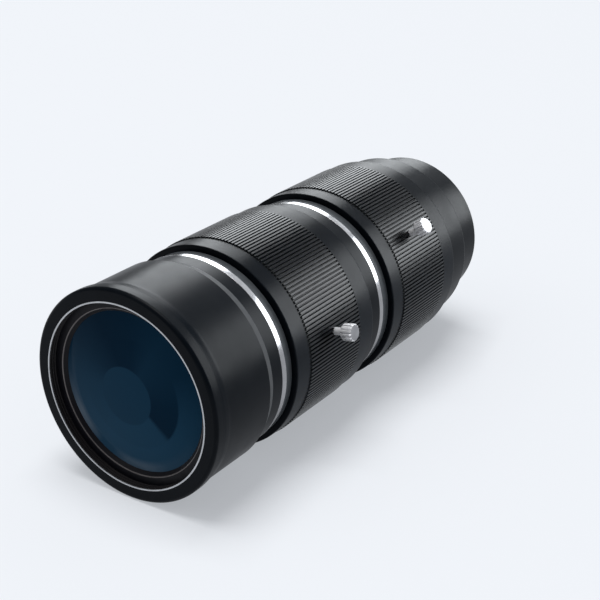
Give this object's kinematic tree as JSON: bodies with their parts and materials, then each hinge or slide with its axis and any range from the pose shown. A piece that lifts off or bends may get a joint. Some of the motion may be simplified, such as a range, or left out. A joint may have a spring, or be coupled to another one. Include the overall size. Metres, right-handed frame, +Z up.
{
  "type": "ultraviolet lens",
  "caption": "Long manual lens with a black barrel, knurled focus and iris rings, each with a thumbscrew, bright trim rings, a front filter thread and a small rear camera screw mount.",
  "frame": {"origin": "where the optical axis meets the rear flange face that seats on the camera", "axes": "+Y runs along the optical axis from the front glass towards the camera, +Z is up with both thumbscrews on the +X side, +X is to the right when looking from the front glass's side towards the camera"},
  "size_m": [0.0578, 0.1335, 0.0526],
  "materials": {
    "black_anodised": "black anodised, semi-gloss",
    "bare_aluminium": "bare turned metal",
    "bright_metal": "bright plated, finely turned",
    "coated_glass": "polished, blue-green coating",
    "brass": "machined",
    "spring_steel": "plain steel",
    "blade_steel": "blued thin sheet, matt"
  },
  "bodies": {
    "barrel": {"main_barrel": "black_anodised", "rear_accent_ring": "bright_metal", "focus_clip": "spring_steel", "iris_base_plate": "black_anodised", "iris_cover_ring": "black_anodised", "rear_cell": "black_anodised", "fourth_element": "coated_glass", "rear_spacer": "black_anodised", "fifth_element": "coated_glass", "rear_retaining_ring": "black_anodised", "rear_housing": "black_anodised", "mount_ring": "black_anodised", "mount_screws": "spring_steel"},
    "front_group": {"front_hood": "black_anodised", "filter_thread_ring": "bare_aluminium", "front_retaining_ring": "black_anodised", "front_cell": "black_anodised", "front_element": "coated_glass", "second_element": "coated_glass", "front_spacer": "black_anodised", "third_element": "coated_glass", "cell_retaining_ring": "black_anodised", "front_tube": "black_anodised", "front_accent_ring": "bright_metal", "guide_keys": "brass"},
    "focus_ring": {"focus_ring": "black_anodised"},
    "focus_lock_screw": {"focus_lock_screw": "bright_metal"},
    "iris_ring": {"iris_ring": "black_anodised", "iris_drive_pin": "spring_steel", "iris_cam_ring": "brass"},
    "iris_lock_screw": {"iris_lock_screw": "bright_metal"},
    "iris_blade_1": {"iris_blade_1": "blade_steel"},
    "iris_blade_2": {"iris_blade_2": "blade_steel"},
    "iris_blade_3": {"iris_blade_3": "blade_steel"},
    "iris_blade_4": {"iris_blade_4": "blade_steel"},
    "iris_blade_5": {"iris_blade_5": "blade_steel"},
    "iris_blade_6": {"iris_blade_6": "blade_steel"},
    "iris_blade_7": {"iris_blade_7": "blade_steel"},
    "iris_blade_8": {"iris_blade_8": "blade_steel"}
  },
  "joints": [
    {"name": "focus_turn", "type": "hinge", "parent": "barrel", "child": "focus_ring", "pos_m": [0, -0.08205, 0], "axis": [0, -1, 0], "range_deg": [0, 270]},
    {"name": "front_slide", "type": "slide", "parent": "barrel", "child": "front_group", "axis": [0, -1, 0], "range_m": [0, 0.007]},
    {"name": "focus_screw_turn", "type": "hinge", "parent": "focus_ring", "child": "focus_lock_screw", "pos_m": [0.02557, -0.08205, 0.00474], "axis": [0.9833, 0, 0.1822], "range_deg": [0, 360]},
    {"name": "iris_turn", "type": "hinge", "parent": "barrel", "child": "iris_ring", "pos_m": [0, -0.0386, 0], "axis": [0, -1, 0], "range_deg": [0, 40]},
    {"name": "iris_screw_turn", "type": "hinge", "parent": "iris_ring", "child": "iris_lock_screw", "pos_m": [0.02127, -0.0386, 0.01495], "axis": [0.8181, 0, 0.575], "range_deg": [0, 360]},
    {"name": "iris_blade_1_turn", "type": "hinge", "parent": "barrel", "child": "iris_blade_1", "pos_m": [0.0172, -0.0465, 0], "axis": [0, -1, 0], "range_deg": [0, 28]},
    {"name": "iris_blade_2_turn", "type": "hinge", "parent": "barrel", "child": "iris_blade_2", "pos_m": [0.01216, -0.0465, 0.01216], "axis": [0, -1, 0], "range_deg": [0, 28]},
    {"name": "iris_blade_3_turn", "type": "hinge", "parent": "barrel", "child": "iris_blade_3", "pos_m": [0, -0.0465, 0.0172], "axis": [0, -1, 0], "range_deg": [0, 28]},
    {"name": "iris_blade_4_turn", "type": "hinge", "parent": "barrel", "child": "iris_blade_4", "pos_m": [-0.01216, -0.0465, 0.01216], "axis": [0, -1, 0], "range_deg": [0, 28]},
    {"name": "iris_blade_5_turn", "type": "hinge", "parent": "barrel", "child": "iris_blade_5", "pos_m": [-0.0172, -0.0465, 0], "axis": [0, -1, 0], "range_deg": [0, 28]},
    {"name": "iris_blade_6_turn", "type": "hinge", "parent": "barrel", "child": "iris_blade_6", "pos_m": [-0.01216, -0.0465, -0.01216], "axis": [0, -1, 0], "range_deg": [0, 28]},
    {"name": "iris_blade_7_turn", "type": "hinge", "parent": "barrel", "child": "iris_blade_7", "pos_m": [0, -0.0465, -0.0172], "axis": [0, -1, 0], "range_deg": [0, 28]},
    {"name": "iris_blade_8_turn", "type": "hinge", "parent": "barrel", "child": "iris_blade_8", "pos_m": [0.01216, -0.0465, -0.01216], "axis": [0, -1, 0], "range_deg": [0, 28]}
  ],
  "couplings": [
    {"joint": "front_slide", "follows": "focus_turn", "m_per_rad": 0.0014854},
    {"joint": "iris_blade_1_turn", "follows": "iris_turn", "ratio": 0.7},
    {"joint": "iris_blade_2_turn", "follows": "iris_turn", "ratio": 0.7},
    {"joint": "iris_blade_3_turn", "follows": "iris_turn", "ratio": 0.7},
    {"joint": "iris_blade_4_turn", "follows": "iris_turn", "ratio": 0.7},
    {"joint": "iris_blade_5_turn", "follows": "iris_turn", "ratio": 0.7},
    {"joint": "iris_blade_6_turn", "follows": "iris_turn", "ratio": 0.7},
    {"joint": "iris_blade_7_turn", "follows": "iris_turn", "ratio": 0.7},
    {"joint": "iris_blade_8_turn", "follows": "iris_turn", "ratio": 0.7}
  ]
}
